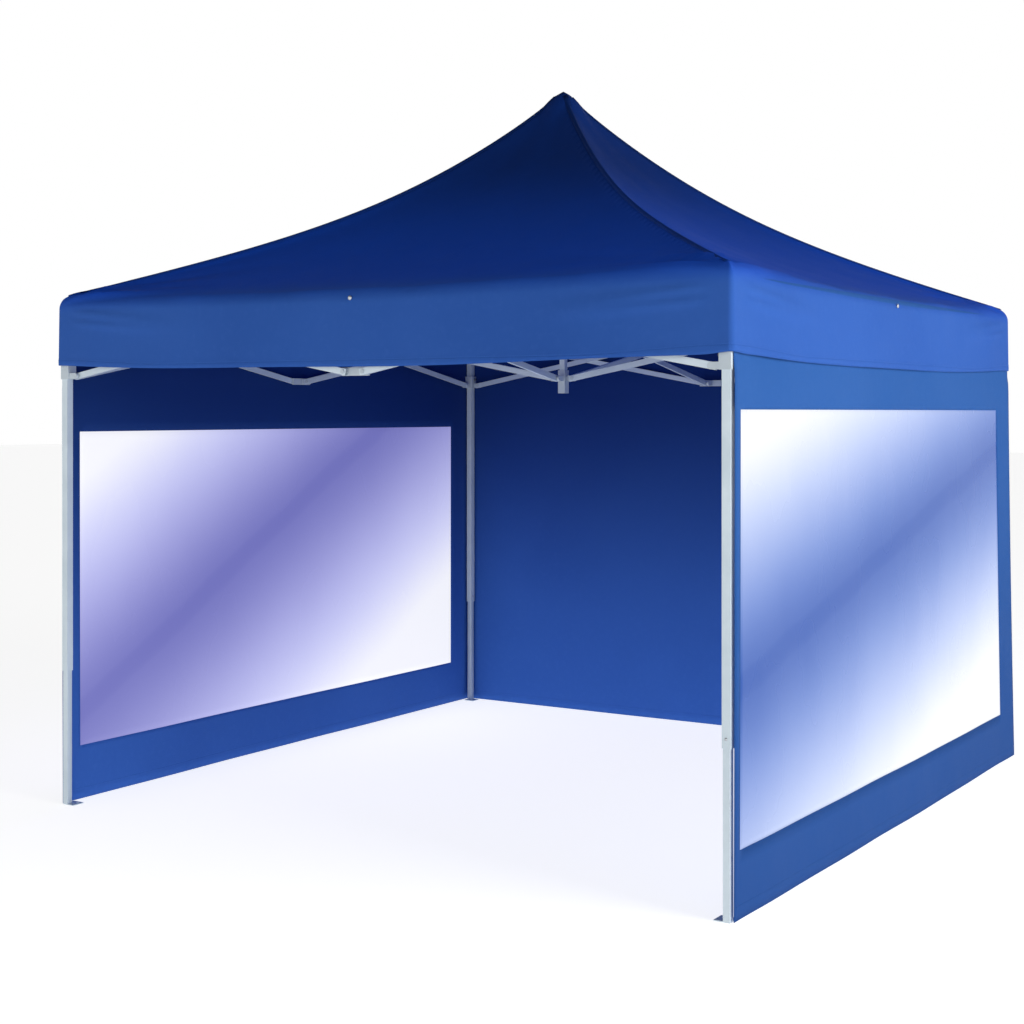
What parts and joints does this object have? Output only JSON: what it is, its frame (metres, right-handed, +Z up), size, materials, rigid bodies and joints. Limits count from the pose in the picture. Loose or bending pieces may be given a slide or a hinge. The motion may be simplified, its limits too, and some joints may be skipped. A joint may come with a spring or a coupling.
{
  "type": "pop up canopy",
  "caption": "Folding square canopy with a peaked cloth roof, a plain back wall, windowed side walls, an open front and a scissor frame on telescoping legs.",
  "frame": {"origin": "on the ground under the middle of the canopy", "axes": "+X to the right seen from the open front, +Y from the open front to the back wall, +Z up"},
  "size_m": [3.021, 3.021, 2.995],
  "materials": {
    "frame_paint": "satin powder coat",
    "joint_plastic": "fine moulded grain",
    "latch_plastic": "moulded",
    "roof_cloth": "coated polyester weave",
    "wall_cloth": "coated polyester weave",
    "window_film": "clear soft vinyl, hazy"
  },
  "bodies": {
    "upper_frame": {"upper_hub": "joint_plastic", "mast_tube": "frame_paint", "canopy": "roof_cloth"},
    "inner_mast": {"inner_mast": "frame_paint", "peak_cap": "joint_plastic"},
    "centre_top_bar_front": {"centre_top_bar_front": "frame_paint"},
    "centre_low_bar_front": {"centre_low_bar_front": "frame_paint"},
    "top_joint_front": {"top_joint_front": "joint_plastic"},
    "bottom_joint_front": {"bottom_joint_front": "joint_plastic"},
    "lower_hub": {"lower_hub": "joint_plastic"},
    "front_top_bar_fr": {"front_top_bar_fr": "frame_paint"},
    "front_slider_bar_fr": {"front_slider_bar_fr": "frame_paint"},
    "front_top_bar_fl": {"front_top_bar_fl": "frame_paint"},
    "front_slider_bar_fl": {"front_slider_bar_fl": "frame_paint"},
    "outer_leg_fr": {"outer_leg_fr": "frame_paint"},
    "slider_fr": {"slider_fr": "joint_plastic"},
    "inner_leg_fr": {"inner_leg_fr": "frame_paint"},
    "latch_fr": {"latch_fr": "latch_plastic"},
    "centre_top_bar_right": {"centre_top_bar_right": "frame_paint"},
    "centre_low_bar_right": {"centre_low_bar_right": "frame_paint"},
    "top_joint_right": {"top_joint_right": "joint_plastic", "wall_right": "wall_cloth", "window_right": "window_film"},
    "bottom_joint_right": {"bottom_joint_right": "joint_plastic"},
    "right_top_bar_br": {"right_top_bar_br": "frame_paint"},
    "right_slider_bar_br": {"right_slider_bar_br": "frame_paint"},
    "right_top_bar_fr": {"right_top_bar_fr": "frame_paint"},
    "right_slider_bar_fr": {"right_slider_bar_fr": "frame_paint"},
    "outer_leg_br": {"outer_leg_br": "frame_paint"},
    "slider_br": {"slider_br": "joint_plastic"},
    "inner_leg_br": {"inner_leg_br": "frame_paint"},
    "latch_br": {"latch_br": "latch_plastic"},
    "centre_top_bar_back": {"centre_top_bar_back": "frame_paint"},
    "centre_low_bar_back": {"centre_low_bar_back": "frame_paint"},
    "top_joint_back": {"top_joint_back": "joint_plastic", "wall_back": "wall_cloth"},
    "bottom_joint_back": {"bottom_joint_back": "joint_plastic"},
    "back_top_bar_bl": {"back_top_bar_bl": "frame_paint"},
    "back_slider_bar_bl": {"back_slider_bar_bl": "frame_paint"},
    "back_top_bar_br": {"back_top_bar_br": "frame_paint"},
    "back_slider_bar_br": {"back_slider_bar_br": "frame_paint"},
    "outer_leg_bl": {"outer_leg_bl": "frame_paint"},
    "slider_bl": {"slider_bl": "joint_plastic"},
    "inner_leg_bl": {"inner_leg_bl": "frame_paint"},
    "latch_bl": {"latch_bl": "latch_plastic"},
    "centre_top_bar_left": {"centre_top_bar_left": "frame_paint"},
    "centre_low_bar_left": {"centre_low_bar_left": "frame_paint"},
    "top_joint_left": {"top_joint_left": "joint_plastic", "wall_left": "wall_cloth", "window_left": "window_film"},
    "bottom_joint_left": {"bottom_joint_left": "joint_plastic"},
    "left_top_bar_fl": {"left_top_bar_fl": "frame_paint"},
    "left_slider_bar_fl": {"left_slider_bar_fl": "frame_paint"},
    "left_top_bar_bl": {"left_top_bar_bl": "frame_paint"},
    "left_slider_bar_bl": {"left_slider_bar_bl": "frame_paint"},
    "outer_leg_fl": {"outer_leg_fl": "frame_paint"},
    "slider_fl": {"slider_fl": "joint_plastic"},
    "inner_leg_fl": {"inner_leg_fl": "frame_paint"},
    "latch_fl": {"latch_fl": "latch_plastic"}
  },
  "joints": [
    {"name": "fold", "type": "hinge", "parent": "upper_frame", "child": "centre_top_bar_front", "pos_m": [0, -0.05, 2], "axis": [1, 0, 0], "range_deg": [0, 77], "deforming": ["canopy", "wall_back", "wall_left", "wall_right", "window_left", "window_right"]},
    {"name": "cross_front_centre", "type": "hinge", "parent": "centre_top_bar_front", "child": "centre_low_bar_front", "pos_m": [0, -0.7375, 1.8725], "axis": [1, 0, 0], "range_deg": [-154, 0]},
    {"name": "lower_hub_pivot", "type": "hinge", "parent": "centre_low_bar_front", "child": "lower_hub", "pos_m": [0, -0.05, 1.745], "axis": [1, 0, 0], "range_deg": [0, 77]},
    {"name": "centre_top_bar_front_to_bottom_joint_front", "type": "hinge", "parent": "centre_top_bar_front", "child": "bottom_joint_front", "pos_m": [0, -1.425, 1.745], "axis": [1, 0, 0], "range_deg": [-77, 0]},
    {"name": "centre_low_bar_front_to_top_joint_front", "type": "hinge", "parent": "centre_low_bar_front", "child": "top_joint_front", "pos_m": [0, -1.425, 2], "axis": [1, 0, 0], "range_deg": [0, 77]},
    {"name": "bottom_joint_front_to_front_top_bar_fr", "type": "hinge", "parent": "bottom_joint_front", "child": "front_top_bar_fr", "pos_m": [0.045, -1.475, 1.745], "axis": [0, -1, 0], "range_deg": [0, 77]},
    {"name": "top_joint_front_to_front_slider_bar_fr", "type": "hinge", "parent": "top_joint_front", "child": "front_slider_bar_fr", "pos_m": [0.045, -1.475, 2], "axis": [0, -1, 0], "range_deg": [-77, 0]},
    {"name": "bottom_joint_front_to_front_top_bar_fl", "type": "hinge", "parent": "bottom_joint_front", "child": "front_top_bar_fl", "pos_m": [-0.045, -1.475, 1.745], "axis": [0, -1, 0], "range_deg": [-77, 0]},
    {"name": "top_joint_front_to_front_slider_bar_fl", "type": "hinge", "parent": "top_joint_front", "child": "front_slider_bar_fl", "pos_m": [-0.045, -1.475, 2], "axis": [0, -1, 0], "range_deg": [0, 77]},
    {"name": "front_top_bar_fr_to_leg", "type": "hinge", "parent": "front_top_bar_fr", "child": "outer_leg_fr", "pos_m": [1.42, -1.475, 2], "axis": [0, -1, 0], "range_deg": [-77, 0]},
    {"name": "front_slider_bar_fr_to_slider", "type": "hinge", "parent": "front_slider_bar_fr", "child": "slider_fr", "pos_m": [1.42, -1.475, 1.745], "axis": [0, -1, 0], "range_deg": [0, 77]},
    {"name": "hub_to_centre_top_bar_right", "type": "hinge", "parent": "upper_frame", "child": "centre_top_bar_right", "pos_m": [0.05, 0, 2], "axis": [0, 1, 0], "range_deg": [0, 77]},
    {"name": "cross_right_centre", "type": "hinge", "parent": "centre_top_bar_right", "child": "centre_low_bar_right", "pos_m": [0.7375, 0, 1.8725], "axis": [0, 1, 0], "range_deg": [-154, 0]},
    {"name": "centre_top_bar_right_to_bottom_joint_right", "type": "hinge", "parent": "centre_top_bar_right", "child": "bottom_joint_right", "pos_m": [1.425, 0, 1.745], "axis": [0, 1, 0], "range_deg": [-77, 0]},
    {"name": "centre_low_bar_right_to_top_joint_right", "type": "hinge", "parent": "centre_low_bar_right", "child": "top_joint_right", "pos_m": [1.425, 0, 2], "axis": [0, 1, 0], "range_deg": [0, 77]},
    {"name": "bottom_joint_right_to_right_top_bar_br", "type": "hinge", "parent": "bottom_joint_right", "child": "right_top_bar_br", "pos_m": [1.475, 0.045, 1.745], "axis": [1, 0, 0], "range_deg": [0, 77]},
    {"name": "top_joint_right_to_right_slider_bar_br", "type": "hinge", "parent": "top_joint_right", "child": "right_slider_bar_br", "pos_m": [1.475, 0.045, 2], "axis": [1, 0, 0], "range_deg": [-77, 0]},
    {"name": "bottom_joint_right_to_right_top_bar_fr", "type": "hinge", "parent": "bottom_joint_right", "child": "right_top_bar_fr", "pos_m": [1.475, -0.045, 1.745], "axis": [1, 0, 0], "range_deg": [-77, 0]},
    {"name": "top_joint_right_to_right_slider_bar_fr", "type": "hinge", "parent": "top_joint_right", "child": "right_slider_bar_fr", "pos_m": [1.475, -0.045, 2], "axis": [1, 0, 0], "range_deg": [0, 77]},
    {"name": "right_top_bar_br_to_leg", "type": "hinge", "parent": "right_top_bar_br", "child": "outer_leg_br", "pos_m": [1.475, 1.42, 2], "axis": [1, 0, 0], "range_deg": [-77, 0]},
    {"name": "right_slider_bar_br_to_slider", "type": "hinge", "parent": "right_slider_bar_br", "child": "slider_br", "pos_m": [1.475, 1.42, 1.745], "axis": [1, 0, 0], "range_deg": [0, 77]},
    {"name": "hub_to_centre_top_bar_back", "type": "hinge", "parent": "upper_frame", "child": "centre_top_bar_back", "pos_m": [0, 0.05, 2], "axis": [-1, 0, 0], "range_deg": [0, 77]},
    {"name": "cross_back_centre", "type": "hinge", "parent": "centre_top_bar_back", "child": "centre_low_bar_back", "pos_m": [0, 0.7375, 1.8725], "axis": [-1, 0, 0], "range_deg": [-154, 0]},
    {"name": "centre_top_bar_back_to_bottom_joint_back", "type": "hinge", "parent": "centre_top_bar_back", "child": "bottom_joint_back", "pos_m": [0, 1.425, 1.745], "axis": [-1, 0, 0], "range_deg": [-77, 0]},
    {"name": "centre_low_bar_back_to_top_joint_back", "type": "hinge", "parent": "centre_low_bar_back", "child": "top_joint_back", "pos_m": [0, 1.425, 2], "axis": [-1, 0, 0], "range_deg": [0, 77]},
    {"name": "bottom_joint_back_to_back_top_bar_bl", "type": "hinge", "parent": "bottom_joint_back", "child": "back_top_bar_bl", "pos_m": [-0.045, 1.475, 1.745], "axis": [0, 1, 0], "range_deg": [0, 77]},
    {"name": "top_joint_back_to_back_slider_bar_bl", "type": "hinge", "parent": "top_joint_back", "child": "back_slider_bar_bl", "pos_m": [-0.045, 1.475, 2], "axis": [0, 1, 0], "range_deg": [-77, 0]},
    {"name": "bottom_joint_back_to_back_top_bar_br", "type": "hinge", "parent": "bottom_joint_back", "child": "back_top_bar_br", "pos_m": [0.045, 1.475, 1.745], "axis": [0, 1, 0], "range_deg": [-77, 0]},
    {"name": "top_joint_back_to_back_slider_bar_br", "type": "hinge", "parent": "top_joint_back", "child": "back_slider_bar_br", "pos_m": [0.045, 1.475, 2], "axis": [0, 1, 0], "range_deg": [0, 77]},
    {"name": "back_top_bar_bl_to_leg", "type": "hinge", "parent": "back_top_bar_bl", "child": "outer_leg_bl", "pos_m": [-1.42, 1.475, 2], "axis": [0, 1, 0], "range_deg": [-77, 0]},
    {"name": "back_slider_bar_bl_to_slider", "type": "hinge", "parent": "back_slider_bar_bl", "child": "slider_bl", "pos_m": [-1.42, 1.475, 1.745], "axis": [0, 1, 0], "range_deg": [0, 77]},
    {"name": "hub_to_centre_top_bar_left", "type": "hinge", "parent": "upper_frame", "child": "centre_top_bar_left", "pos_m": [-0.05, 0, 2], "axis": [0, -1, 0], "range_deg": [0, 77]},
    {"name": "cross_left_centre", "type": "hinge", "parent": "centre_top_bar_left", "child": "centre_low_bar_left", "pos_m": [-0.7375, 0, 1.8725], "axis": [0, -1, 0], "range_deg": [-154, 0]},
    {"name": "centre_top_bar_left_to_bottom_joint_left", "type": "hinge", "parent": "centre_top_bar_left", "child": "bottom_joint_left", "pos_m": [-1.425, 0, 1.745], "axis": [0, -1, 0], "range_deg": [-77, 0]},
    {"name": "centre_low_bar_left_to_top_joint_left", "type": "hinge", "parent": "centre_low_bar_left", "child": "top_joint_left", "pos_m": [-1.425, 0, 2], "axis": [0, -1, 0], "range_deg": [0, 77]},
    {"name": "bottom_joint_left_to_left_top_bar_fl", "type": "hinge", "parent": "bottom_joint_left", "child": "left_top_bar_fl", "pos_m": [-1.475, -0.045, 1.745], "axis": [-1, 0, 0], "range_deg": [0, 77]},
    {"name": "top_joint_left_to_left_slider_bar_fl", "type": "hinge", "parent": "top_joint_left", "child": "left_slider_bar_fl", "pos_m": [-1.475, -0.045, 2], "axis": [-1, 0, 0], "range_deg": [-77, 0]},
    {"name": "bottom_joint_left_to_left_top_bar_bl", "type": "hinge", "parent": "bottom_joint_left", "child": "left_top_bar_bl", "pos_m": [-1.475, 0.045, 1.745], "axis": [-1, 0, 0], "range_deg": [-77, 0]},
    {"name": "top_joint_left_to_left_slider_bar_bl", "type": "hinge", "parent": "top_joint_left", "child": "left_slider_bar_bl", "pos_m": [-1.475, 0.045, 2], "axis": [-1, 0, 0], "range_deg": [0, 77]},
    {"name": "left_top_bar_fl_to_leg", "type": "hinge", "parent": "left_top_bar_fl", "child": "outer_leg_fl", "pos_m": [-1.475, -1.42, 2], "axis": [-1, 0, 0], "range_deg": [-77, 0]},
    {"name": "left_slider_bar_fl_to_slider", "type": "hinge", "parent": "left_slider_bar_fl", "child": "slider_fl", "pos_m": [-1.475, -1.42, 1.745], "axis": [-1, 0, 0], "range_deg": [0, 77]},
    {"name": "leg_height_fr", "type": "slide", "parent": "outer_leg_fr", "child": "inner_leg_fr", "axis": [0, 0, 1], "range_m": [0, 0.5]},
    {"name": "latch_pull_fr", "type": "slide", "parent": "slider_fr", "child": "latch_fr", "axis": [-1, 0, 0], "range_m": [0, 0.008], "stiffness_N_per_m": 600, "springref_m": -0.005},
    {"name": "leg_height_br", "type": "slide", "parent": "outer_leg_br", "child": "inner_leg_br", "axis": [0, 0, 1], "range_m": [0, 0.5]},
    {"name": "latch_pull_br", "type": "slide", "parent": "slider_br", "child": "latch_br", "axis": [0, -1, 0], "range_m": [0, 0.008], "stiffness_N_per_m": 600, "springref_m": -0.005},
    {"name": "leg_height_bl", "type": "slide", "parent": "outer_leg_bl", "child": "inner_leg_bl", "axis": [0, 0, 1], "range_m": [0, 0.5]},
    {"name": "latch_pull_bl", "type": "slide", "parent": "slider_bl", "child": "latch_bl", "axis": [1, 0, 0], "range_m": [0, 0.008], "stiffness_N_per_m": 600, "springref_m": -0.005},
    {"name": "leg_height_fl", "type": "slide", "parent": "outer_leg_fl", "child": "inner_leg_fl", "axis": [0, 0, 1], "range_m": [0, 0.5]},
    {"name": "latch_pull_fl", "type": "slide", "parent": "slider_fl", "child": "latch_fl", "axis": [0, 1, 0], "range_m": [0, 0.008], "stiffness_N_per_m": 600, "springref_m": -0.005},
    {"name": "mast_height", "type": "slide", "parent": "upper_frame", "child": "inner_mast", "axis": [0, 0, -1], "range_m": [0, 0.48], "deforming": ["canopy"]}
  ],
  "couplings": [
    {"joint": "cross_front_centre", "follows": "fold", "ratio": -2},
    {"joint": "lower_hub_pivot", "follows": "fold", "ratio": 1},
    {"joint": "centre_top_bar_front_to_bottom_joint_front", "follows": "fold", "ratio": -1},
    {"joint": "centre_low_bar_front_to_top_joint_front", "follows": "fold", "ratio": 1},
    {"joint": "bottom_joint_front_to_front_top_bar_fr", "follows": "fold", "ratio": 1},
    {"joint": "top_joint_front_to_front_slider_bar_fr", "follows": "fold", "ratio": -1},
    {"joint": "bottom_joint_front_to_front_top_bar_fl", "follows": "fold", "ratio": -1},
    {"joint": "top_joint_front_to_front_slider_bar_fl", "follows": "fold", "ratio": 1},
    {"joint": "front_top_bar_fr_to_leg", "follows": "fold", "ratio": -1},
    {"joint": "front_slider_bar_fr_to_slider", "follows": "fold", "ratio": 1},
    {"joint": "hub_to_centre_top_bar_right", "follows": "fold", "ratio": 1},
    {"joint": "cross_right_centre", "follows": "fold", "ratio": -2},
    {"joint": "centre_top_bar_right_to_bottom_joint_right", "follows": "fold", "ratio": -1},
    {"joint": "centre_low_bar_right_to_top_joint_right", "follows": "fold", "ratio": 1},
    {"joint": "bottom_joint_right_to_right_top_bar_br", "follows": "fold", "ratio": 1},
    {"joint": "top_joint_right_to_right_slider_bar_br", "follows": "fold", "ratio": -1},
    {"joint": "bottom_joint_right_to_right_top_bar_fr", "follows": "fold", "ratio": -1},
    {"joint": "top_joint_right_to_right_slider_bar_fr", "follows": "fold", "ratio": 1},
    {"joint": "right_top_bar_br_to_leg", "follows": "fold", "ratio": -1},
    {"joint": "right_slider_bar_br_to_slider", "follows": "fold", "ratio": 1},
    {"joint": "hub_to_centre_top_bar_back", "follows": "fold", "ratio": 1},
    {"joint": "cross_back_centre", "follows": "fold", "ratio": -2},
    {"joint": "centre_top_bar_back_to_bottom_joint_back", "follows": "fold", "ratio": -1},
    {"joint": "centre_low_bar_back_to_top_joint_back", "follows": "fold", "ratio": 1},
    {"joint": "bottom_joint_back_to_back_top_bar_bl", "follows": "fold", "ratio": 1},
    {"joint": "top_joint_back_to_back_slider_bar_bl", "follows": "fold", "ratio": -1},
    {"joint": "bottom_joint_back_to_back_top_bar_br", "follows": "fold", "ratio": -1},
    {"joint": "top_joint_back_to_back_slider_bar_br", "follows": "fold", "ratio": 1},
    {"joint": "back_top_bar_bl_to_leg", "follows": "fold", "ratio": -1},
    {"joint": "back_slider_bar_bl_to_slider", "follows": "fold", "ratio": 1},
    {"joint": "hub_to_centre_top_bar_left", "follows": "fold", "ratio": 1},
    {"joint": "cross_left_centre", "follows": "fold", "ratio": -2},
    {"joint": "centre_top_bar_left_to_bottom_joint_left", "follows": "fold", "ratio": -1},
    {"joint": "centre_low_bar_left_to_top_joint_left", "follows": "fold", "ratio": 1},
    {"joint": "bottom_joint_left_to_left_top_bar_fl", "follows": "fold", "ratio": 1},
    {"joint": "top_joint_left_to_left_slider_bar_fl", "follows": "fold", "ratio": -1},
    {"joint": "bottom_joint_left_to_left_top_bar_bl", "follows": "fold", "ratio": -1},
    {"joint": "top_joint_left_to_left_slider_bar_bl", "follows": "fold", "ratio": 1},
    {"joint": "left_top_bar_fl_to_leg", "follows": "fold", "ratio": -1},
    {"joint": "left_slider_bar_fl_to_slider", "follows": "fold", "ratio": 1}
  ]
}
